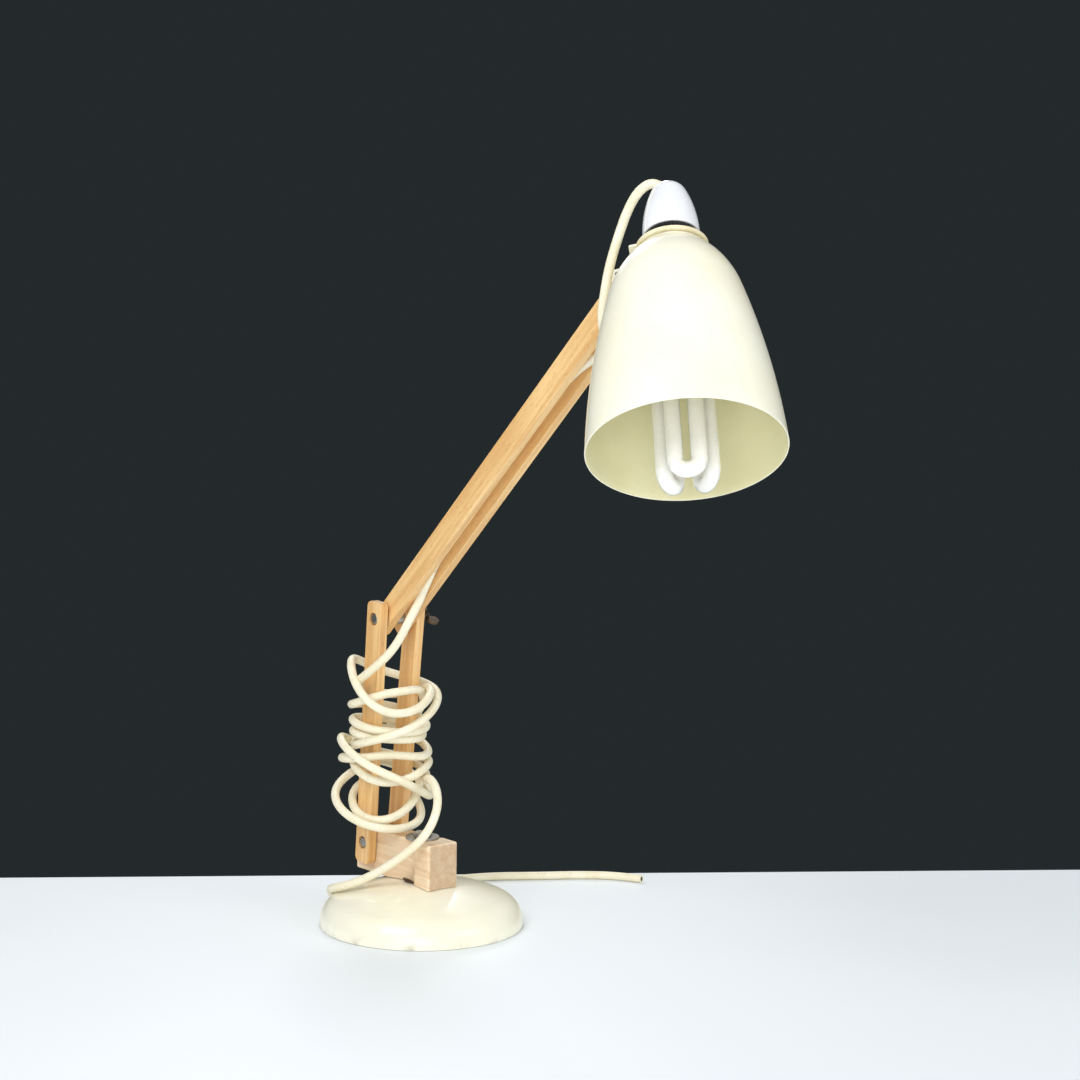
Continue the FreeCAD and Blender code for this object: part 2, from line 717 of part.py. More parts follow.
plain("shade_bracket", bracket_shape.removeSplitter())

# A round-headed rivet in the ear, flush with the sheet's near face.
rivet_spot = on_ear(-size("rivet_back"), -size("rivet_rise"))
rivet_head = Part.makeSphere(size("rivet_head_radius"), Vector(), UP, 0, 90, 360)
plain("bracket_rivet", rivet_head, along(rivet_spot, NEAR))

# The shade: spun sheet steel with a rolled collar, open at the mouth.


def shade_profile():
    """The outer profile from the hole in the top to the mouth, as an open wire in the XZ plane."""
    flat = Vector(size("shade_flat"), 0, 0)
    collar_edge = Vector(size("collar_radius"), 0, size("collar_drop"))
    shoulder = Vector(size("shoulder_reach"), 0, size("shoulder_drop"))
    mouth = Vector(size("mouth_radius"), 0, size("mouth_drop"))

    def arc(start, finish, radius):
        chord = finish - start
        out = Vector(chord.z, 0, -chord.x).normalize()
        rise = radius - math.sqrt(radius ** 2 - (chord.Length / 2) ** 2)
        return Part.Arc(start, (start + finish) * 0.5 + out * rise, finish).toShape()

    collar_curve = (collar_edge - flat).Length * 0.72
    return Part.Wire([
        Part.LineSegment(Vector(size("shade_hole"), 0, 0), flat).toShape(),
        arc(flat, collar_edge, collar_curve),
        arc(collar_edge, shoulder, size("shade_shoulder_curve")),
        arc(shoulder, mouth, size("shade_side_curve")),
    ])


wall_face = shade_profile().makeOffset2D(size("shade_wall"), join=0, fill=True, openResult=True)
plain("shade", wall_face.revolve(Vector(), UP, 360), head_place)

# The lampholder: a body whose shank goes through the bracket, a seating ring and the shade, a ring
# that clamps them from inside the shade, and a cap over the terminals.

BODY_LOW = "(-(Sizes.plate_rise + Sizes.strip_thickness + Sizes.face_clearance))"
FLOOR = "(-Sizes.body_top + Sizes.body_floor)"
SHANK_INNER = "(Sizes.shank_radius - Sizes.shank_wall)"
turned("lampholder_body", [
    ("0", "-Sizes.body_top"),
    ("Sizes.body_radius", "-Sizes.body_top"),
    ("Sizes.body_radius", BODY_LOW),
    ("Sizes.shank_radius", BODY_LOW),
    ("Sizes.shank_radius", "Sizes.shank_length"),
    (SHANK_INNER, "Sizes.shank_length"),
    (SHANK_INNER, FLOOR),
    ("0", FLOOR),
]).Placement = head_place
holder = doc.getObject("lampholder_body")
pin_sketch = new_sketch(holder, "XY_Plane", f"{FLOOR} + 1")
for spread in ("Sizes.pin_spread", "-Sizes.pin_spread"):
    circle(pin_sketch, spread, "0", "Sizes.pin_radius + Sizes.face_clearance")
cut(holder, "PartDesign::Pocket", pin_sketch, "Sizes.body_floor + 2")

seating_place = Placement(Vector(0, 0, gap - size("plate_rise")), Rotation())
seating_ring = ring("Sizes.seating_radius", "Sizes.shank_radius + Sizes.face_clearance",
                    "Sizes.plate_rise - 2 * Sizes.face_clearance", head_place.multiply(seating_place))
seating_ring.Label = "seating_ring"
ring_start = size("shade_wall") + 2 * gap
shade_ring = ring("Sizes.shank_radius + Sizes.ring_width", "Sizes.shank_radius + Sizes.face_clearance",
                  "Sizes.ring_height", head_place.multiply(Placement(Vector(0, 0, ring_start), Rotation())))
shade_ring.Label = "shade_ring"


def cap_profile(inset):
    """Half of the cap's outline, inset from its outer surface, down to its lower edge."""
    low = -size("body_top")
    top = low - size("cap_height") + inset
    join = Vector(size("cap_crown_reach") - inset, 0, low - size("cap_height") + size("cap_crown_rise"))
    rim = Vector(size("cap_radius") - inset, 0, low)
    chord = rim - join
    out = Vector(chord.z, 0, -chord.x).normalize()
    bulge = size("cap_side_curve") - math.sqrt(size("cap_side_curve") ** 2 - (chord.Length / 2) ** 2)
    crown = size("cap_crown") - inset
    centre = top + crown
    half = math.asin(join.x / crown) / 2
    return Part.Face(Part.Wire([
        Part.Arc(Vector(0, 0, top), Vector(crown * math.sin(half), 0, centre - crown * math.cos(half)),
                 join).toShape(),
        Part.Arc(join, (join + rim) * 0.5 + out * bulge, rim).toShape(),
        Part.makeLine(rim, Vector(0, 0, low)),
        Part.makeLine(Vector(0, 0, low), Vector(0, 0, top)),
    ]))


# The cord leaves the cap through a slanted hole, from a grip on the axis.
cord_start = Vector(257.3, 23.5, 596.0)
cord_way = (Vector(249.4, 18.0, 603.7) - cord_start).normalize()
cap_outside = cap_profile(0).revolve(Vector(), UP, 360)
cap_inside = cap_profile(size("cap_wall")).revolve(Vector(), UP, 360)
hole = Part.makeCylinder(size("cord_hole_radius"), 4 * size("grip_length"), cord_start, cord_way)
hole = hole.transformed(head_place.inverse().toMatrix())
plain("lampholder_cap", cap_outside.cut([cap_inside, hole]), head_place)
plain("cord_grip", Part.makeCylinder(size("grip_radius"), size("grip_length"),
                                     cord_start - cord_way * size("grip_length"), cord_way))
terminal = cylinder("Sizes.terminal_radius", "Sizes.terminal_height", head_place.multiply(
    Placement(Vector(0, 0, -size("body_top") - gap - size("terminal_height")), Rotation())))
terminal.Label = "terminal_block"
group("contact_pins", [
    cylinder("Sizes.pin_radius", "Sizes.body_top + Sizes.bulb_cap_top - Sizes.face_clearance",
             head_place.multiply(Placement(Vector(offset, 0, -size("body_top")), Rotation())))
    for offset in (size("pin_spread"), -size("pin_spread"))])

# The bulb: a bayonet cap, a housing that widens below it, and three bent glass tubes.

cap_start = Vector(0, 0, size("bulb_cap_top"))
cap_metal = Part.makeCylinder(size("bulb_cap_radius"), size("bulb_cap_length"), cap_start)
bayonet_start = cap_start + Vector(-size("bayonet_reach"), 0, size("bayonet_drop"))
bayonet = Part.makeCylinder(size("bayonet_radius"), 2 * size("bayonet_reach"), bayonet_start, Vector(1, 0, 0))
plain("bulb_cap", cap_metal.fuse(bayonet).removeSplitter(), head_place)
BULB_LOW = "(Sizes.bulb_cap_top + Sizes.bulb_cap_length)"
turned("bulb_housing", [
    ("0", BULB_LOW),
    ("Sizes.housing_neck", BULB_LOW),
    ("Sizes.housing_neck + Sizes.shell_wall", f"{BULB_LOW} + Sizes.housing_neck_length"),
    ("Sizes.housing_radius", "Sizes.housing_end - Sizes.housing_skirt"),
    ("Sizes.housing_radius", "Sizes.housing_end"),
    ("0", "Sizes.housing_end"),
]).Placement = head_place


def bent_tube(turn_angle):
    """One glass tube: two legs from the housing joined by a half turn at the tip."""
    radius = size("bulb_leg_radius")
    half = size("bulb_leg_circle") / 2
    out = math.sqrt(size("bulb_leg_circle") ** 2 - half ** 2)
    low = size("housing_end")
    bend_centre = size("bulb_tip") - radius - half
    straight = bend_centre - low
    legs = [Part.makeCylinder(radius, straight, Vector(out, offset, low)) for offset in (-half, half)]
    section = Part.Face(Part.Wire(Part.makeCircle(radius, Vector(out, half, bend_centre))))
    turn_back = section.revolve(Vector(out, 0, bend_centre), Vector(1, 0, 0), 180)
    bent = legs[0].fuse([legs[1], turn_back]).removeSplitter()
    bent.rotate(Vector(), UP, turn_angle)
    return bent


FIRST_TUBE_TURN = 130.6
tubes = [bent_tube(FIRST_TUBE_TURN + step) for step in (0, 120, 240)]
plain("bulb_tubes", Part.makeCompound(tubes), head_place)

# The cord: a round flex that leaves the cap, runs between the upper bars, winds loosely round the
# lower bars, drops over the base's rear side and lies behind it, where its end is cut off.

cord_radius = size("cord_radius")


def cord_wire(points, first, last):
    """Straight runs joined by tangent arcs, from the middle of run first to the middle of run last,
    where the route's own ends count as such."""
    count = len(points)
    runs = [points[i + 1] - points[i] for i in range(count - 1)]
    lengths = [run.Length for run in runs]
    start = points[0] if first < 0 else (points[first] + points[first + 1]) * 0.5
    finish = points[-1] if last < 0 else (points[last] + points[last + 1]) * 0.5
    corners = range(max(first, 0) + 1, (count - 2 if last < 0 else last) + 1)
    edges = []
    radii = []
    here = start
    for corner in corners:
        before, after = runs[corner - 1], runs[corner]
        half_turn = before.getAngle(after) / 2
        reach = 0.45 * min(lengths[corner - 1], lengths[corner])
        radius = reach / math.tan(half_turn)
        radii.append(radius)
        into = points[corner] - Vector(before).normalize() * reach
        out_of = points[corner] + Vector(after).normalize() * reach
        inward = (Vector(after).normalize() - Vector(before).normalize()).normalize()
        middle = points[corner] + inward * (radius / math.cos(half_turn) - radius)
        edges.append(Part.LineSegment(here, into).toShape())
        edges.append(Part.Arc(into, middle, out_of).toShape())
        here = out_of
    edges.append(Part.LineSegment(here, finish).toShape())
    return Part.Wire(edges), radii


def tube(label, wire, radii):
    """A round tube along the wire, whose volume is compared with its section times its length."""
    first = wire.Edges[0]
    start = first.valueAt(first.FirstParameter)
    heading = first.tangentAt(first.FirstParameter)
    section = Part.Wire([Part.Circle(start, heading, cord_radius).toShape()])
    shape = wire.makePipeShell([section], True, False)
    expected = math.pi * cord_radius ** 2 * wire.Length
    print(f"{label}: length {wire.Length:.1f}, least radius {min(radii):.1f}, radii",
          " ".join(f"{radius:.0f}" for radius in radii), f"volume ratio {shape.Volume / expected:.4f}")
    return plain(label, shape)


def beside_upper_arm(reach, above, y):
    """A point by its reach from the elbow along the upper arm, its height over the arm's middle, and Y."""
    upright_way = Vector(-upper_way.z, 0, upper_way.x)
    return Vector(-39.9, 0, 253.6) + upper_way * reach + upright_way * above + FAR * y


# The cord's route from the cap to the lower bars: over in a loop beside the head, across the near
# bar's face, up into the gap between the upper bars, and out of it again above the elbow.

UPPER_ROUTE = [
    cord_start,
    Vector(249.4, 18.0, 603.7),
    Vector(243.6, 8.0, 597.6),
    Vector(242.3, -2.0, 583.0),
    Vector(243.6, -12.5, 562.0),
    Vector(244.6, -21.0, 541.6),
    Vector(242.8, -24.0, 521.0),
    beside_upper_arm(372, -10.5, -21.5),
    beside_upper_arm(359, -19.5, -13.5),
    beside_upper_arm(346, -18.0, -3.5),
    beside_upper_arm(331, -9.5, 0),
    beside_upper_arm(306, -1.0, 0.4),
    beside_upper_arm(262, 2.2, -0.6),
    beside_upper_arm(196, 0.6, 0.5),
    beside_upper_arm(128, 2.6, -0.5),
    beside_upper_arm(80, 1.0, 0.3),
    beside_upper_arm(52, -5.5, 0),
    Vector(-5.5, -3.0, 268.0),
    Vector(-9.0, -9.0, 255.0),
    Vector(-11.5, -15.5, 241.0),
    Vector(-17.0, -22.5, 227.5),
    Vector(-24.5, -29.5, 217.5),
    Vector(-35.5, -33.0, 208.5),
]
HEAD_LAST_RUN = 11
ARM_LAST_RUN = 15

# The cord's turns round the lower bars, plain and even, clockwise seen from above. Each pair is the
# cord's height up the bars and its reach from their middle, at the left, behind, at the right and in
# front of the bars in turn.

WINDING = [
    (135, 28),
    (120, 29), (113, 30), (106, 31), (99, 32),
    (92, 33), (85, 33), (78, 33), (71, 33),
    (62, 33), (60, 34),
]
FIRST_ANGLE = -127.0


def between(values, place):
    """A smooth way through evenly placed values: the value at a place counted in steps."""
    step = min(int(place), len(values) - 2)
    part = place - step
    here, there = values[step], values[step + 1]
    before = values[step - 1] if step > 0 else 2 * here - there
    after = values[step + 2] if step + 2 < len(values) else 2 * there - here
    start_slope, finish_slope = (there - before) / 2, (after - here) / 2
    return (here + start_slope * part + (3 * (there - here) - 2 * start_slope - finish_slope) * part ** 2
            + (2 * (here - there) + start_slope + finish_slope) * part ** 3)


def winding_point(quarters):
    """The cord's centre after a number of quarter turns."""
    angle = math.radians(FIRST_ANGLE - 90 * quarters)
    height = between([pair[0] for pair in WINDING], quarters)
    reach = between([pair[1] for pair in WINDING], quarters)
    across = Vector(lower_way.z, 0, -lower_way.x)
    return (Vector(-57.5, 0, 61.0) + lower_way * height + across * (reach * math.cos(angle))
            + FAR * (reach * math.sin(angle)))


def winding_way(quarters):
    step = 0.0005
    low, high = max(quarters - step, 0), min(quarters + step, len(WINDING) - 1)
    return (winding_point(high) - winding_point(low)).normalize()


def biarc(start, start_way, finish, finish_way):
    """Two tangent arcs from start to finish that keep the ways at both ends."""
    gap_way = finish - start
    ways = start_way + finish_way
    spread = 2 * (1 - start_way.dot(finish_way))
    reach = (math.sqrt(gap_way.dot(ways) ** 2 + spread * gap_way.dot(gap_way)) - gap_way.dot(ways)) / spread
    first_corner = start + start_way * reach
    last_corner = finish - finish_way * reach
    join = (first_corner + last_corner) * 0.5
    return corner_arc(start, first_corner, join), corner_arc(join, last_corner, finish)


def winding_wire():
    last = len(WINDING) - 1
    start_way, finish_way = winding_way(0), winding_way(last)
    start, finish = winding_point(0), winding_point(last)
    edges = [Part.makeLine(start - start_way * (2 * cord_radius), start)]
    radii = []
    for quarter in range(last):
        for edge, radius in biarc(winding_point(quarter), winding_way(quarter),
                                  winding_point(quarter + 1), winding_way(quarter + 1)):
            edges.append(edge)
            radii.append(radius)
    edges.append(Part.makeLine(finish, finish + finish_way * (2 * cord_radius)))
    return Part.Wire(edges), radii


def least_gap(wire):
    """The least gap between the winding's own turns, measured on points two millimetres apart."""
    points = wire.discretize(Distance=2)
    apart = 20
    gaps = [(there - here).Length for index, here in enumerate(points) for there in points[index + apart:]]
    return min(gaps) - 2 * cord_radius


loops, loop_radii = winding_wire()
print(f"least gap of the winding to itself {least_gap(loops):.2f}")
loops_start = loops.Edges[0].valueAt(loops.Edges[0].FirstParameter)
loops_start_way = winding_way(0)
loops_finish_way = winding_way(len(WINDING) - 1)
loops_finish = winding_point(len(WINDING) - 1) + loops_finish_way * (2 * cord_radius)
LEAD = 11.5

# From the winding the cord drops past the block's far side and front, crosses the dome's near
# shoulder and goes behind the base along the table to its cut end.

LOWER_ROUTE = [
    loops_finish,
    loops_finish + loops_finish_way * LEAD,
    Vector(-3.5, 10.0, 121.5),
    Vector(15.0, 3.0, 116.5),
    Vector(25.0, -3.0, 104.5),
    Vector(28.0, -11.0, 91.0),
    Vector(25.0, -19.5, 78.0),
    Vector(12.0, -30.0, 63.0),
    Vector(-7.0, -38.0, 48.5),
    Vector(-26.0, -46.5, 37.0),
    Vector(-42.0, -53.0, 30.5),
    Vector(-57.0, -51.5, 26.4),
    Vector(-72.5, -42.5, 20.0),
    Vector(-87.5, -29.5, 10.5),
    Vector(-96.0, -8.0, 4.0),
    Vector(-100.0, 22.0, 3.6),
    Vector(-98.0, 62.0, 3.6),
    Vector(-92.0, 102.0, 3.6),
    Vector(-80.0, 139.0, 3.6),
    Vector(-56.0, 174.0, 3.6),
    Vector(-36.0, 207.0, 3.6),
    Vector(-13.0, 233.0, 3.6),
    Vector(9.0, 241.6, 3.6),
]
TAIL_LAST_RUN = 14

upper_route = UPPER_ROUTE + [loops_start - loops_start_way * LEAD, loops_start]
tube("cord_head", *cord_wire(upper_route, -1, HEAD_LAST_RUN))
tube("cord_arm", *cord_wire(upper_route, HEAD_LAST_RUN, ARM_LAST_RUN))
tube("cord_elbow", *cord_wire(upper_route, ARM_LAST_RUN, -1))
tube("cord_winding", loops, loop_radii)
tube("cord_tail", *cord_wire(LOWER_ROUTE, -1, TAIL_LAST_RUN))
tube("cord_floor", *cord_wire(LOWER_ROUTE, TAIL_LAST_RUN, -1))

doc.recompute()

NODES = (
    "base_shell", "ballast_weight", "base_felt", "swivel_bolt", "swivel_nut", "swivel_spring_washer",
    "swivel_washer", "swivel_friction_washer", "pivot_block", "lower_bar_near", "lower_bar_far",
    "lower_pivot_bolt", "lower_pivot_nut", "lower_pivot_washers", "elbow_bolt", "elbow_outer_washer",
    "elbow_washers", "elbow_sleeve", "elbow_wing_nut", "upper_bar_near", "upper_bar_far", "head_bolt",
    "head_outer_washer", "head_spacers", "head_wing_nut", "shade_bracket", "bracket_rivet", "shade",
    "lampholder_body", "lampholder_cap", "seating_ring", "shade_ring", "terminal_block", "cord_grip",
    "contact_pins", "bulb_cap", "bulb_housing", "bulb_tubes", "cord_head", "cord_arm", "cord_elbow",
    "cord_winding", "cord_tail", "cord_floor",
)

for piece in doc.Objects:
    if {"Invalid", "Error"} & set(piece.State):
        raise RuntimeError(f"{piece.Label} failed: {piece.State}")
for name in NODES:
    piece = doc.getObjectsByLabel(name)[0]
    shape = piece.Shape
    if shape.isNull() or not shape.isValid() or not shape.Solids:
        raise RuntimeError(f"{name} has no valid solid")
    shape.exportStep(f"parts/{name}.step")
    print(f"{name}: {len(shape.Solids)} solids, {shape.Volume:.0f} mm3")
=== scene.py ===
# A desk lamp on two pairs of wooden bars. It stands on a domed enamelled base with a turning wooden
# block, and its tilting shade carries a bayonet lampholder. A loose flex is wound round the bars.
# Metres. +Z is up, +X is the side that the arms reach to, and the near bars are on the -Y side.

import math

import bpy
from mathutils import Matrix, Vector


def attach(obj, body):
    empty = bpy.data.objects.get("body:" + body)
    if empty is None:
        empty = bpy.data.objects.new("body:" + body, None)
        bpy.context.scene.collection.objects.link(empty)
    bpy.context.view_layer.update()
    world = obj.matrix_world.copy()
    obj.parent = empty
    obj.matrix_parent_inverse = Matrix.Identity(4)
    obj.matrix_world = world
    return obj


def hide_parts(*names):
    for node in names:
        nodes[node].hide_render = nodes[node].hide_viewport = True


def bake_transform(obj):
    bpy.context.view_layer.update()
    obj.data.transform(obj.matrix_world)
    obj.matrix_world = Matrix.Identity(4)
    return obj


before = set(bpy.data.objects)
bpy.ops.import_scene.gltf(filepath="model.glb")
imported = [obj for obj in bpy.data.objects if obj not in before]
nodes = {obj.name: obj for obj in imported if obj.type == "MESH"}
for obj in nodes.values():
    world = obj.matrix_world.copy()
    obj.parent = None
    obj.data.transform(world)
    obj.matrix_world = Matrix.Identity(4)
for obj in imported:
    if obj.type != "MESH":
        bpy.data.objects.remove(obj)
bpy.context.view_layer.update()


# The base is a dome spun from sheet steel and stove-enamelled in a warm ivory. The enamel has a
# slight orange peel, a little wear where hands turn the lamp, and darker patches low on the rim.


class Signal:
    """One output socket of a node tree. Arithmetic on it adds Math nodes, and add() any other node.

    add() sets a socket by its name, or by its number as i0, i1 and so on.
    """

    def __init__(self, tree, socket=None):
        self.tree = tree
        self.socket = socket

    def add(self, kind, settings=None, output=0, **inputs):
        node = self.tree.nodes.new("ShaderNode" + kind)
        for name, value in (settings or {}).items():
            setattr(node, name, value)
        for name, value in inputs.items():
            numbered = name[1:].isdigit()
            socket = node.inputs[int(name[1:]) if numbered else name.replace("_", " ")]
            if isinstance(value, Signal):
                self.tree.links.new(value.socket, socket)
            else:
                socket.default_value = value
        return Signal(self.tree, node.outputs[output])

    def math(self, operation, first, second=0.0):
        return self.add("Math", {"operation": operation}, i0=first, i1=second)

    def __add__(self, other):
        return self.math("ADD", self, other)

    def __radd__(self, other):
        return self.math("ADD", other, self)

    def __sub__(self, other):
        return self.math("SUBTRACT", self, other)

    def __rsub__(self, other):
        return self.math("SUBTRACT", other, self)

    def __mul__(self, other):
        return self.math("MULTIPLY", self, other)

    def __rmul__(self, other):
        return self.math("MULTIPLY", other, self)

    def clamped(self):
        return self.add("Clamp", i0=self)

    def stepped(self, low, high):
        """0 below low and 1 above high, smooth between."""
        return self.add("MapRange", {"interpolation_type": "SMOOTHSTEP"}, i0=self, i1=low, i2=high)

    def between(self, first, second):
        """The colour that runs from first to second as this goes from 0 to 1."""
        return self.add("Mix", {"data_type": "RGBA"}, 2, i0=self, i6=paint(first), i7=paint(second))


def paint(colour):
    """An sRGB colour from 0 to 255 as the linear values that a shader takes; a signal stays itself."""
    if isinstance(colour, Signal):
        return colour
    parts = [part / 255 for part in colour]
    linear = [part / 12.92 if part < 0.04045 else ((part + 0.055) / 1.055) ** 2.4 for part in parts]
    return (*linear, 1.0)


OBJECT_PLACE, SURFACE_NORMAL = 3, 1


def new_material(name, **shader):
    """A material, the signal of a point's place on the piece, and what links signals to the shader."""
    material = bpy.data.materials.new(name)
    material.use_nodes = True
    tree = material.node_tree
    shade = next(node for node in tree.nodes if node.type == "BSDF_PRINCIPLED")
    for socket, value in shader.items():
        shade.inputs[socket.replace("_", " ")].default_value = value
    start = Signal(tree)
    place = start.add("TexCoord", output=OBJECT_PLACE)

    def wear(**links):
        for socket, signal in links.items():
            tree.links.new(signal.socket, shade.inputs[socket.replace("_", " ")])

    return material, place, wear


def noise(place, scale, detail=3.0, roughness=0.5, distortion=0.0):
    return place.add("TexNoise", Vector=place, Scale=scale, Detail=detail, Roughness=roughness,
                     Distortion=distortion)


def bumped(height, depth):
    """A normal that is bent by a height from 0 to 1, as deep as depth in metres."""
    return height.add("Bump", Height=height, Distance=depth, Strength=1.0)


SPECK_SHADE = 0.72
LOW_PATCH_COLOUR = (150, 138, 112)
LOW_PATCH_TOP = 0.012


def enamel(name, colour, worn, roughness):
    """Stove enamel with a soft mottle, small dark specks, and darker brownish patches on its lowest 12 mm."""
    material, place, wear = new_material(name, Coat_Weight=0.35, Coat_Roughness=0.08, IOR=1.5)
    mottle = noise(place, 14.0, 4.0)
    specks = noise(place, 420.0, 2.0).stepped(0.70, 0.78)
    low = place.add("SeparateXYZ", output=2, Vector=place)
    # Brownish patches darken the lowest 12 mm of the piece, just above the table.
    low_patches = noise(place, 60.0, 5.0).stepped(0.45, 0.75) * (1 - low.stepped(0.0, LOW_PATCH_TOP))
    colour = mottle.stepped(0.35, 0.7).between(colour, worn)
    colour = (specks * 0.35).between(colour, [part * SPECK_SHADE for part in worn])
    colour = (low_patches * 0.5).between(colour, LOW_PATCH_COLOUR)
    wear(Base_Color=colour, Roughness=roughness + mottle * 0.1,
         Normal=bumped(noise(place, 900.0, 1.0) * 0.6 + noise(place, 90.0, 2.0) * 0.4, 0.00006))
    return material


def finish(names, material):
    """Gives one material to each of the named pieces of the frame."""
    for name in names:
        node = nodes[name]
        node.data.materials.clear()
        node.data.materials.append(material)


ivory = enamel("ivory_enamel", (250, 247, 228), (245, 240, 214), 0.24)
finish(["base_shell"], ivory)

# Inside the dome a rough iron casting gives the base its weight, over a disc of dark felt.

iron, place, wear = new_material("cast_ballast", Metallic=0.6)
grain = noise(place, 260.0, 6.0)
wear(Base_Color=grain.between((34, 34, 36), (62, 58, 54)), Roughness=grain * 0.3 + 0.55,
     Normal=bumped(grain, 0.0006))
finish(["ballast_weight"], iron)

felt, place, wear = new_material("felt", Roughness=0.95, Sheen_Weight=0.4)
fibres = noise(place, 1400.0, 3.0, 0.7, 1.5)
wear(Base_Color=fibres.between((24, 27, 26), (52, 56, 54)), Normal=bumped(fibres, 0.0005))
finish(["base_felt"], felt)


# The bolts, nuts and washers are zinc-plated steel, turned on a lathe, so they have fine rings and
# a dull grey shine. The friction washer under the block is pressed brown fibre.


TARNISH_SHADE = 0.6


def plated(name, bright, dull, roughness):
    """Plated steel, clouded, with small tarnished spots."""
    material, place, wear = new_material(name, Metallic=0.9)
    cloud = noise(place, 180.0, 4.0)
    tarnish = noise(place, 700.0, 3.0).stepped(0.55, 0.75)
    tarnished = [part * TARNISH_SHADE for part in dull]
    wear(Base_Color=(tarnish * 0.5).between(cloud.between(bright, dull), tarnished),
         Roughness=cloud * 0.2 + roughness, Normal=bumped(noise(place, 2600.0, 2.0), 0.00005))
    return material


zinc = plated("zinc_steel", (196, 194, 188), (150, 146, 138), 0.28)
finish(["swivel_bolt", "swivel_nut", "swivel_spring_washer", "swivel_washer", "lower_pivot_bolt",
        "lower_pivot_nut", "lower_pivot_washers", "elbow_bolt", "elbow_outer_washer", "elbow_washers",
        "elbow_sleeve", "head_bolt", "head_outer_washer", "head_spacers", "bracket_rivet"], zinc)
bronzed = plated("bronzed_steel", (128, 108, 86), (86, 70, 54), 0.38)
finish(["elbow_wing_nut", "head_wing_nut"], bronzed)

fibre, place, wear = new_material("friction_fibre", Roughness=0.8)
strands = noise(place, 1500.0, 4.0)
wear(Base_Color=strands.between((62, 42, 30), (96, 66, 46)), Normal=bumped(strands, 0.0002))
finish(["swivel_friction_washer"], fibre)


# The block is pale close-grained hardwood with the short flecks of beech, varnished. Its front face
# is end grain, which drinks the varnish and goes darker, with fine pores and saw marks.


END_SHADE = 0.82


def timber(name, turn, light, dark, fleck, end_axis):
    """Varnished wood whose grain runs along the piece, turned about Y by turn radians."""
    material, place, wear = new_material(name, Coat_Weight=0.25, Coat_Roughness=0.22, IOR=1.5)
    along = place.add("VectorRotate", {"rotation_type": "Y_AXIS"}, Vector=place, Angle=turn)
    stretched = place.add("Mapping", Vector=along, Scale=(5.0, 90.0, 90.0))
    rings = noise(stretched, 1.6, 5.0, 0.55, 0.5)
    lines = noise(place.add("Mapping", Vector=along, Scale=(14.0, 520.0, 520.0)), 1.0, 4.0, 0.6)
    flecks = noise(place.add("Mapping", Vector=along, Scale=(160.0, 1500.0, 1500.0)), 1.0, 2.0)
    normal = place.add("TexCoord", output=SURFACE_NORMAL)
    facing = normal.add("VectorMath", {"operation": "DOT_PRODUCT"}, 1, i0=normal, i1=end_axis)
    end = facing.math("ABSOLUTE", facing).stepped(0.8, 0.95)
    pores = noise(place, 1300.0, 3.0).stepped(0.56, 0.68)
    colour = rings.stepped(0.32, 0.68).between(light, dark)
    colour = (lines.stepped(0.5, 0.72) * 0.45).between(colour, dark)
    colour = (flecks.stepped(0.62, 0.7) * 0.4).between(colour, fleck)
    colour = (end * 0.55).between(colour, [part * END_SHADE for part in dark])
    colour = (end * pores * 0.5).between(colour, fleck)
    height = lines * (1 - end) + pores * end
    wear(Base_Color=colour, Roughness=0.34 + lines * 0.14 + end * 0.2, Normal=bumped(height, 0.00012))
    return material


BLOCK_LIGHT, BLOCK_DARK, BLOCK_FLECK = (246, 222, 188), (226, 190, 150), (168, 120, 84)
finish(["pivot_block"], timber("pale_wood", 0.0, BLOCK_LIGHT, BLOCK_DARK, BLOCK_FLECK, (1, 0, 0)))

# The four bars are golden straight-grained hardwood, planed, with rounded ends and softened edges,
# and varnished. The lower pair leans a little and the upper pair rises to the head.

LOWER_LEAN = math.radians(84.8)
UPPER_RISE = math.radians(43.5)
BAR_LIGHT, BAR_DARK, BAR_FLECK = (246, 206, 144), (222, 172, 108), (156, 106, 60)
for names, rise in ((["lower_bar_near", "lower_bar_far"], LOWER_LEAN),
                    (["upper_bar_near", "upper_bar_far"], UPPER_RISE)):
    way = (math.cos(rise), 0, math.sin(rise))
    finish(names, timber("bar_wood", rise, BAR_LIGHT, BAR_DARK, BAR_FLECK, way))


# The bracket is bent steel sheet and the shade is spun steel. Both are stove-enamelled ivory. Inside,
# the shade is a flatter cream, tinted khaki as painted shade. Its mouth is left as the plain edge of
# the sheet, and its axis points down and forward from the collar.

COLLAR = Vector((0.280373, 0.007, 0.552532))
DROOP, TURN = math.radians(33.2), math.radians(35.5)
AXIS = Vector((math.sin(DROOP) * math.cos(TURN), -math.sin(DROOP) * math.sin(TURN), -math.cos(DROOP)))
FOLD = AXIS.cross(Vector((0, 1, 0))).normalized()
FRONT = FOLD.cross(AXIS)
HEAD_PLACE = Matrix((FRONT, FOLD, AXIS)).transposed().to_4x4()
HEAD_PLACE.translation = COLLAR

finish(["shade_bracket"], ivory)


def spun(name, profile, segments):
    """A piece turned about its own Z, from its closed profile as radius and height in millimetres."""
    points = []
    for radius, height in profile:
        for index in range(segments):
            angle = 2 * math.pi * index / segments
            points.append((radius * math.cos(angle) / 1000, radius * math.sin(angle) / 1000, height / 1000))
    faces = []
    count = len(profile)
    for ring in range(count):
        here, there = ring * segments, (ring + 1) % count * segments
        for index in range(segments):
            following = (index + 1) % segments
            faces.append((here + index, there + index, there + following, here + following))
    mesh = bpy.data.meshes.new(name)
    mesh.from_pydata(points, [], faces)
    mesh.update()
    for face in mesh.polygons:
        face.use_smooth = True
    piece = bpy.data.objects.new(name, mesh)
    bpy.context.scene.collection.objects.link(piece)
    return piece


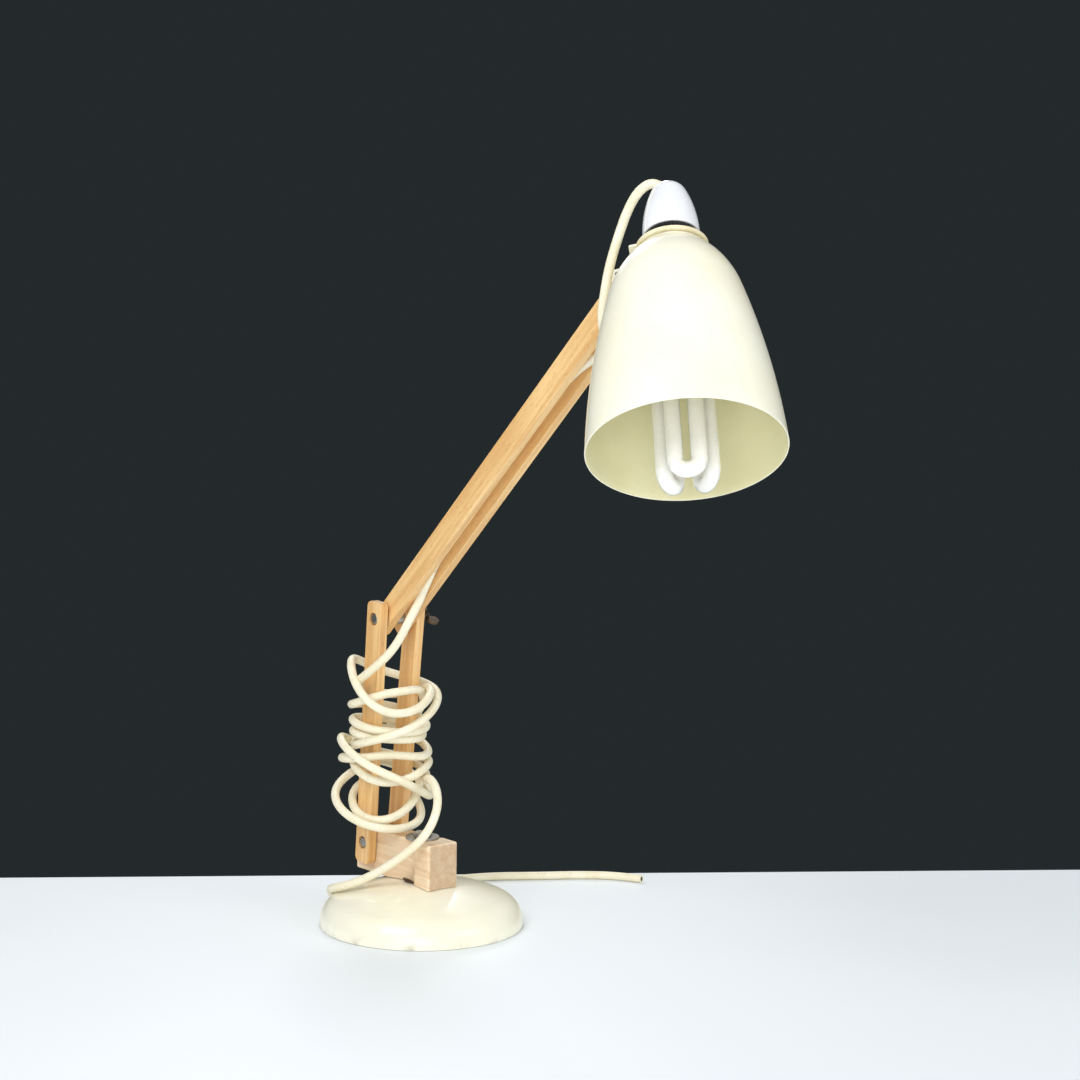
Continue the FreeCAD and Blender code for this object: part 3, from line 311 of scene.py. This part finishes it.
def arc_points(start, finish_at, radius, steps):
    """Points on an arc between two points of a profile, bulging away from the axis."""
    (r0, h0), (r1, h1) = start, finish_at
    half = math.hypot(r1 - r0, h1 - h0) / 2
    out_r, out_h = (h1 - h0) / (2 * half), -(r1 - r0) / (2 * half)
    depth = math.sqrt(radius ** 2 - half ** 2)
    centre_r, centre_h = (r0 + r1) / 2 - out_r * depth, (h0 + h1) / 2 - out_h * depth
    first = math.atan2(h0 - centre_h, r0 - centre_r)
    last = math.atan2(h1 - centre_h, r1 - centre_r)
    angles = [first + (last - first) * step / steps for step in range(1, steps + 1)]
    return [(centre_r + radius * math.cos(angle), centre_h + radius * math.sin(angle)) for angle in angles]


SHADE_HOLE = 17.3
SHEET = 0.8
CORNER, SHOULDER, MOUTH = (25.4, 2.6), (48.2, 40.0), (70.0, 166.2)
CORNER_BEND, SHOULDER_BEND, SIDE_BEND = 3.1, 78.0, 612.0
SHADE_SEGMENTS = 160
outer = [(SHADE_HOLE, 0.0), (19.5, 0.0), (21.6, 0.0)]
outer += arc_points((22.0, 0.0), CORNER, CORNER_BEND, 6)
side_from = len(outer)
outer += arc_points(CORNER, SHOULDER, SHOULDER_BEND, 14)
outer += arc_points(SHOULDER, MOUTH, SIDE_BEND, 22)
edge = [(70.0, 166.6), (69.9, 166.9), (69.6, 167.0), (69.3, 166.9), (69.2, 166.6)]
inner = [(radius - SHEET * 0.98, height + 0.25) for radius, height in reversed(outer[side_from:-1])]
inner += [(24.3, 3.4), (22.8, 1.5), (21.6, SHEET), (SHADE_HOLE, SHEET)]
shade = spun("lamp_shade", outer + edge + inner, SHADE_SEGMENTS)
shade.matrix_world = HEAD_PLACE
# Inside, the cream is tinted khaki: painted shade for the hollow of the bowl.
inside_painted_shade = enamel("lampshade_inside_painted_shade", (250, 245, 206), (244, 236, 192), 0.42)
shade.data.materials.append(ivory)
shade.data.materials.append(inside_painted_shade)
inside_from = (len(outer) + len(edge) - 1) * SHADE_SEGMENTS
for face in shade.data.polygons[inside_from:]:
    face.material_index = 1
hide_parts("shade")
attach(shade, "head")

# The lampholder is moulded of thermoset plastic. Its ribbed black body has a threaded shank, with a
# ring that clamps the shade to it over a cream seating ring, and a smooth white cap screws over the
# terminals. Two brass pins press on the bulb's cap.

white_plastic, place, wear = new_material("white_plastic", Coat_Weight=0.4, Coat_Roughness=0.05, IOR=1.5)
haze = noise(place, 40.0, 4.0)
wear(Base_Color=haze.stepped(0.3, 0.7).between((243, 244, 247), (234, 235, 238)),
     Roughness=haze * 0.1 + 0.16, Normal=bumped(noise(place, 500.0, 2.0), 0.00003))
finish(["lampholder_cap", "terminal_block"], white_plastic)

black_plastic, place, wear = new_material("black_plastic", IOR=1.5)
scuffs = noise(place, 600.0, 5.0)
wear(Base_Color=scuffs.stepped(0.5, 0.8).between((14, 14, 15), (34, 33, 32)), Roughness=scuffs * 0.25 + 0.3,
     Normal=bumped(scuffs, 0.00006))
finish(["shade_ring", "cord_grip"], black_plastic)

RIB_COUNT = 64.0
ribbed, place, wear = new_material("ribbed_plastic", IOR=1.5)
offset = place.add("VectorMath", {"operation": "SUBTRACT"}, i0=place, i1=COLLAR)
ahead = offset.add("VectorMath", {"operation": "DOT_PRODUCT"}, 1, i0=offset, i1=FRONT)
aside = offset.add("VectorMath", {"operation": "DOT_PRODUCT"}, 1, i0=offset, i1=FOLD)
turned = ahead.math("ARCTAN2", ahead, aside) * RIB_COUNT
ribs = turned.math("SINE", turned)
scuffs = noise(place, 600.0, 5.0)
# Each rib's crest is painted lighter grey: a painted highlight along the ribs, over their bumps.
wear(Base_Color=ribs.stepped(-0.6, 0.8).between((8, 8, 9), (40, 40, 41)), Roughness=scuffs * 0.25 + 0.3,
     Normal=bumped(ribs * 0.5 + 0.5, 0.0006))
finish(["lampholder_body"], ribbed)

seat_plastic, place, wear = new_material("cream_plastic", IOR=1.5)
haze = noise(place, 90.0, 4.0)
# The ring is cream plastic; its darker, yellower tone is partly painted shade under the lampholder.
wear(Base_Color=haze.stepped(0.3, 0.7).between((240, 231, 198), (228, 216, 176)),
     Roughness=haze * 0.15 + 0.35, Normal=bumped(noise(place, 900.0, 2.0), 0.00004))
finish(["seating_ring"], seat_plastic)

brass, place, wear = new_material("brass_pin", Metallic=1.0)
dulling = noise(place, 900.0, 3.0)
wear(Base_Color=dulling.between((196, 160, 92), (148, 116, 62)), Roughness=dulling * 0.2 + 0.3)
finish(["contact_pins"], brass)

# The bulb is a compact fluorescent: an aluminium bayonet cap, a moulded housing for its ballast and
# three bent glass tubes, white from the phosphor inside.

aluminium, place, wear = new_material("aluminium_cap", Metallic=1.0)
drawn = noise(place.add("Mapping", Vector=place, Scale=(900.0, 900.0, 60.0)), 1.0, 3.0)
wear(Base_Color=drawn.between((200, 200, 202), (172, 172, 175)), Roughness=drawn * 0.2 + 0.3)
finish(["bulb_cap"], aluminium)

bulb_plastic, place, wear = new_material("bulb_plastic", IOR=1.5)
haze = noise(place, 120.0, 4.0)
wear(Base_Color=haze.between((240, 238, 232), (228, 225, 216)), Roughness=haze * 0.1 + 0.4,
     Normal=bumped(noise(place, 1500.0, 2.0), 0.00004))
finish(["bulb_housing"], bulb_plastic)

phosphor, place, wear = new_material("bulb_glass", Coat_Weight=1.0, Coat_Roughness=0.02, IOR=1.5)
powder = noise(place, 300.0, 4.0)
wear(Base_Color=powder.between((250, 249, 244), (240, 238, 230)), Roughness=powder * 0.1 + 0.3,
     Normal=bumped(noise(place, 60.0, 2.0), 0.00003))
finish(["bulb_tubes"], phosphor)


# The cord is a limp round flex, seven millimetres thick, in an ivory sheath that has yellowed a
# little and picked up grime where it lies on the wood. It is one length, made here in six
# stretches; those along the upper arm, round the lower bars and on the floor ride with their bodies.

CORD_DIAMETER = 0.007
ELBOW = Vector((-0.0399, 0, 0.2536))
LOWER_PIVOT = Vector((-57.5, 0, 61.0))
ARM_WAY = Vector((math.cos(UPPER_RISE), 0, math.sin(UPPER_RISE)))
ARM_ABOVE = Vector((-ARM_WAY.z, 0, ARM_WAY.x))


def beside_upper_arm(reach, above, y):
    """A point by its reach from the elbow along the upper arm, its height over it, and Y, in millimetres."""
    return ELBOW + (ARM_WAY * reach + ARM_ABOVE * above + Vector((0, y, 0))) / 1000


def millimetres(x, y, z):
    return Vector((x, y, z)) / 1000


upper_route = [
    millimetres(257.3, 23.5, 596.0),
    millimetres(249.4, 18.0, 603.7),
    millimetres(243.6, 8.0, 597.6),
    millimetres(242.3, -2.0, 583.0),
    millimetres(243.6, -12.5, 562.0),
    millimetres(244.6, -21.0, 541.6),
    millimetres(242.8, -24.0, 521.0),
    beside_upper_arm(372, -10.5, -21.5),
    beside_upper_arm(359, -19.5, -13.5),
    beside_upper_arm(346, -18.0, -3.5),
    beside_upper_arm(331, -9.5, 0),
    beside_upper_arm(306, -1.0, 0.4),
    beside_upper_arm(262, 2.2, -0.6),
    beside_upper_arm(196, 0.6, 0.5),
    beside_upper_arm(128, 2.6, -0.5),
    beside_upper_arm(80, 1.0, 0.3),
    beside_upper_arm(52, -5.5, 0),
    millimetres(-5.5, -3.0, 268.0),
    millimetres(-9.0, -9.0, 255.0),
    millimetres(-11.5, -15.5, 241.0),
    millimetres(-17.0, -22.5, 227.5),
    millimetres(-24.5, -29.5, 217.5),
    millimetres(-35.5, -33.0, 208.5),
]
HEAD_LAST_RUN, ARM_LAST_RUN = 11, 15

# The winding goes clockwise seen from above, and its turns cross each other as a flex wound by hand
# does. Each pair is its height up the bars and its reach from their middle, in millimetres, at the
# left, behind, at the right and in front of the bars in turn.

WINDING = [
    (135, 28),
    (120, 29), (134, 33), (121, 44), (154, 35),
    (136, 39), (127, 40), (100, 40), (81, 28),
    (87, 44), (130, 26), (134, 26), (116, 33),
    (110, 28), (102, 32), (102, 31), (103, 31),
    (96, 36), (93, 29), (95, 28), (93, 30),
    (88, 36), (78, 35), (81, 27), (69, 38),
    (56, 44), (41, 39), (69, 43), (87, 40),
    (64, 42), (70, 36), (59, 34), (67, 28),
    (49, 28), (53, 29), (27, 36), (36, 27),
    (44, 34), (27, 32), (22, 43), (40, 42),
    (62, 33), (60, 34),
]
FIRST_ANGLE = -127.0
LOWER_WAY = Vector((math.cos(LOWER_LEAN), 0, math.sin(LOWER_LEAN)))
ACROSS = Vector((LOWER_WAY.z, 0, -LOWER_WAY.x))


def between(values, place):
    """A smooth way through evenly placed values: the value at a place counted in steps."""
    step = min(int(place), len(values) - 2)
    part = place - step
    here, there = values[step], values[step + 1]
    before = values[step - 1] if step > 0 else 2 * here - there
    after = values[step + 2] if step + 2 < len(values) else 2 * there - here
    start_slope, finish_slope = (there - before) / 2, (after - here) / 2
    return (here + start_slope * part + (3 * (there - here) - 2 * start_slope - finish_slope) * part ** 2
            + (2 * (here - there) + start_slope + finish_slope) * part ** 3)


def winding_point(quarters):
    """The cord's centre after a number of quarter turns round the lower bars."""
    angle = math.radians(FIRST_ANGLE - 90 * quarters)
    height = between([pair[0] for pair in WINDING], quarters)
    reach = between([pair[1] for pair in WINDING], quarters)
    spot = LOWER_WAY * height + ACROSS * (reach * math.cos(angle))
    return (LOWER_PIVOT + spot + Vector((0, reach * math.sin(angle), 0))) / 1000


QUARTERS = len(WINDING) - 1
PER_QUARTER = 5
NEARBY = 0.001
LEAD = 0.0115
winding = [winding_point(step / PER_QUARTER) for step in range(QUARTERS * PER_QUARTER + 1)]
first_way = (winding_point(NEARBY) - winding_point(0)).normalized()
last_way = (winding_point(QUARTERS) - winding_point(QUARTERS - NEARBY)).normalized()
winding.insert(0, winding[0] - first_way * CORD_DIAMETER)
winding.append(winding[-1] + last_way * CORD_DIAMETER)
upper_route.append(winding[0] - first_way * LEAD)

# From the winding the flex drops past the block's far side and front, crosses the dome's near
# shoulder, and goes behind the base along the table to its cut end.

lower_route = [
    winding[-1] + last_way * LEAD,
    millimetres(-3.5, 10.0, 121.5),
    millimetres(15.0, 3.0, 116.5),
    millimetres(25.0, -3.0, 104.5),
    millimetres(28.0, -11.0, 91.0),
    millimetres(25.0, -19.5, 78.0),
    millimetres(12.0, -30.0, 63.0),
    millimetres(-7.0, -38.0, 48.5),
    millimetres(-26.0, -46.5, 37.0),
    millimetres(-42.0, -53.0, 30.5),
    millimetres(-57.0, -51.5, 26.4),
    millimetres(-72.5, -42.5, 20.0),
    millimetres(-87.5, -29.5, 10.5),
    millimetres(-96.0, -8.0, 4.0),
    millimetres(-100.0, 22.0, 3.6),
    millimetres(-98.0, 62.0, 3.6),
    millimetres(-92.0, 102.0, 3.6),
    millimetres(-80.0, 139.0, 3.6),
    millimetres(-56.0, 174.0, 3.6),
    millimetres(-36.0, 207.0, 3.6),
    millimetres(-13.0, 233.0, 3.6),
    millimetres(9.0, 241.6, 3.6),
]
TAIL_LAST_RUN = 13


def line_through(points):
    """Closely spaced points on the smooth line that the route's points pull on."""
    curve = bpy.data.curves.new("route", "CURVE")
    curve.dimensions = "3D"
    curve.resolution_u = 8
    spline = curve.splines.new("NURBS")
    spline.points.add(len(points) - 1)
    for control, point in zip(spline.points, points):
        control.co = (*point, 1)
    spline.order_u = 3
    spline.use_endpoint_u = True
    route = bpy.data.objects.new("route", curve)
    bpy.context.scene.collection.objects.link(route)
    bpy.context.view_layer.update()
    mesh = bpy.data.meshes.new_from_object(route)
    line = [vertex.co.copy() for vertex in mesh.vertices]
    bpy.data.meshes.remove(mesh)
    bpy.data.objects.remove(route)
    bpy.data.curves.remove(curve)
    return line


FLEX_SIDES = 20
CORE_SHARE = 0.62


def flex(name, line):
    """A round tube along the line with closed ends. Its last face is the flex's core at the cut end."""
    points = []
    upright = Vector((0.3, 0.5, 0.8))
    for index, spot in enumerate(line):
        way = (line[min(index + 1, len(line) - 1)] - line[max(index - 1, 0)]).normalized()
        upright = (upright - way * upright.dot(way)).normalized()
        beside = way.cross(upright)
        for side in range(FLEX_SIDES):
            angle = 2 * math.pi * side / FLEX_SIDES
            points.append(spot + (upright * math.cos(angle) + beside * math.sin(angle)) * (CORD_DIAMETER / 2))
    faces = []
    for index in range(len(line) - 1):
        here, there = index * FLEX_SIDES, (index + 1) * FLEX_SIDES
        for side in range(FLEX_SIDES):
            following = (side + 1) % FLEX_SIDES
            faces.append((here + side, here + following, there + following, there + side))
    faces.append(tuple(reversed(range(FLEX_SIDES))))
    rim = (len(line) - 1) * FLEX_SIDES
    points += [line[-1] + (point - line[-1]) * CORE_SHARE for point in points[rim:rim + FLEX_SIDES]]
    for side in range(FLEX_SIDES):
        following = (side + 1) % FLEX_SIDES
        faces.append((rim + side, rim + following, rim + FLEX_SIDES + following, rim + FLEX_SIDES + side))
    faces.append(tuple(range(rim + FLEX_SIDES, rim + 2 * FLEX_SIDES)))
    mesh = bpy.data.meshes.new(name)
    mesh.from_pydata(points, [], faces)
    mesh.update()
    for face in mesh.polygons[:(len(line) - 1) * FLEX_SIDES]:
        face.use_smooth = True
    piece = bpy.data.objects.new(name, mesh)
    bpy.context.scene.collection.objects.link(piece)
    return piece


sheath, place, wear = new_material("cord_vinyl", Coat_Weight=0.1, Coat_Roughness=0.3, IOR=1.48)
stain = noise(place, 45.0, 5.0, 0.6)
dirt = noise(place, 380.0, 4.0).stepped(0.58, 0.74)
tone = stain.stepped(0.3, 0.7).between((247, 240, 216), (238, 228, 196))
wear(Base_Color=(dirt * 0.35).between(tone, (196, 180, 142)), Roughness=stain * 0.15 + 0.38,
     Normal=bumped(noise(place, 1800.0, 3.0) * 0.5 + noise(place, 160.0, 2.0) * 0.5, 0.0001))

core, place, wear = new_material("cord_core", Roughness=0.8)
threads = noise(place, 2200.0, 3.0)
wear(Base_Color=threads.between((58, 50, 44), (104, 92, 78)), Normal=bumped(threads, 0.0004))

whole_line = line_through(upper_route + winding + lower_route)


def nearest(point):
    """The number of the line's own point that is nearest to a point."""
    return min(range(len(whole_line)), key=lambda index: (whole_line[index] - point).length_squared)


def middle_of(route, run):
    return nearest((route[run] + route[run + 1]) / 2)


breaks = [0, middle_of(upper_route, HEAD_LAST_RUN), middle_of(upper_route, ARM_LAST_RUN),
          nearest(winding[0]), nearest(winding[-1]), middle_of(lower_route, TAIL_LAST_RUN),
          len(whole_line) - 1]
STRETCHES = (
    ("flex_head", "cord_head", 0.226, "object"),
    ("flex_arm", "cord_arm", 0.218, "object"),
    ("flex_elbow", "cord_elbow", 0.132, "object"),
    ("flex_winding", "cord_winding", 2.39, "object"),
    ("flex_tail", "cord_tail", 0.277, "object"),
    ("flex_floor", "cord_floor", 0.273, "bare"),
)
stretches = {}
for index, (name, node, length, far_end) in enumerate(STRETCHES):
    path = whole_line[breaks[index]:breaks[index + 1] + 1]
    piece = flex(name, path)
    piece.data.materials.append(sheath)
    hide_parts(node)
    stretches[name] = piece
stretches["flex_floor"].data.materials.append(core)
stretches["flex_floor"].data.polygons[-1].material_index = 1
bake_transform(stretches["flex_head"])
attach(stretches["flex_arm"], "upper_arm")
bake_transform(stretches["flex_elbow"])
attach(stretches["flex_winding"], "lower_arm")
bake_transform(stretches["flex_tail"])
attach(stretches["flex_floor"], "turret")

# The lamp stands near the back edge of a white table in a studio, before a dark grey wall.

TABLE_EDGE = Vector((-0.137, 0.095, 0))
EDGE_WAY = Vector((0.570, 0.821, 0))
FORWARD = Vector((0.821, -0.570, 0))
TABLE_REACH = 3
TABLE_THICKNESS = Vector((0, 0, 0.03))
far_left, far_right = TABLE_EDGE + EDGE_WAY * TABLE_REACH, TABLE_EDGE - EDGE_WAY * TABLE_REACH
corners = [far_left, far_right, far_right + FORWARD * TABLE_REACH, far_left + FORWARD * TABLE_REACH]
table_mesh = bpy.data.meshes.new("table")
table_mesh.from_pydata(corners + [corner - TABLE_THICKNESS for corner in corners], [],
                       [(0, 1, 2, 3), (7, 6, 5, 4), (0, 4, 5, 1), (1, 5, 6, 2), (2, 6, 7, 3), (3, 7, 4, 0)])
table = bpy.data.objects.new("table", table_mesh)
bpy.context.scene.collection.objects.link(table)
lacquer, place, wear = new_material("table_white", Roughness=0.5)
wear(Base_Color=noise(place, 3.0, 3.0).between((240, 245, 248), (235, 240, 244)))
table_mesh.materials.append(lacquer)

# Rays that end at the camera or in a reflection see the dim grey wall, and all others a soft pale sky.

CAMERA_RAY, GLOSSY_RAY, TRANSMISSION_RAY = 0, 3, 6
world = bpy.data.worlds.new("studio")
bpy.context.scene.world = world
world.use_nodes = True
world.node_tree.nodes.clear()
sky = Signal(world.node_tree)
by_camera, by_gloss, through = (sky.add("LightPath", output=which)
                                for which in (CAMERA_RAY, GLOSSY_RAY, TRANSMISSION_RAY))
seen = (by_camera + by_gloss + through).clamped()
dim = sky.add("Background", Color=paint((36, 41, 43)), Strength=1.0)
soft = sky.add("Background", Color=(0.95, 0.98, 1.0, 1.0), Strength=0.6)
mixed = sky.add("MixShader", i0=seen, i1=soft, i2=dim)
world_output = world.node_tree.nodes.new("ShaderNodeOutputWorld")
world.node_tree.links.new(mixed.socket, world_output.inputs["Surface"])

# Four square softboxes light the lamp. Each has its place and width in metres and its power in watts.

LAMP_MIDDLE = Vector((0.09, 0, 0.32))
SOFTBOXES = (
    ("key", (0.5, -1.5, 1.7), 1.1, 18.5),
    ("front", (1.5, -1.3, 0.3), 1.0, 11.0),
    ("fill", (1.9, 0.6, 1.0), 1.2, 10.0),
    ("rim", (-1.3, 0.9, 1.4), 0.8, 10.0),
)
for name, spot, width, power in SOFTBOXES:
    light = bpy.data.lights.new(name, "AREA")
    light.shape = "SQUARE"
    light.size = width
    light.energy = power
    softbox = bpy.data.objects.new(name, light)
    softbox.location = spot
    softbox.rotation_euler = (LAMP_MIDDLE - Vector(spot)).to_track_quat("-Z", "Y").to_euler()
    bpy.context.scene.collection.objects.link(softbox)

# The camera stands about 1.9 m away, a little below the shade, and looks slightly down.

camera_data = bpy.data.cameras.new("camera")
camera_data.sensor_width = 36.0
camera_data.lens = 73.162
camera = bpy.data.objects.new("camera", camera_data)
sight = Vector((-0.7616447, 0.64159014, -0.09088146))
right = Vector((0.64312549, 0.76561122, 0.01513495))
above = Vector((-0.0792903, 0.04692073, 0.9957467))
camera.matrix_world = Matrix((right, above, -sight)).transposed().to_4x4()
camera.matrix_world.translation = Vector((1.43545586, -1.08603244, 0.48713943))
bpy.context.scene.collection.objects.link(camera)
bpy.context.scene.camera = camera
bpy.context.scene.view_settings.view_transform = "Standard"
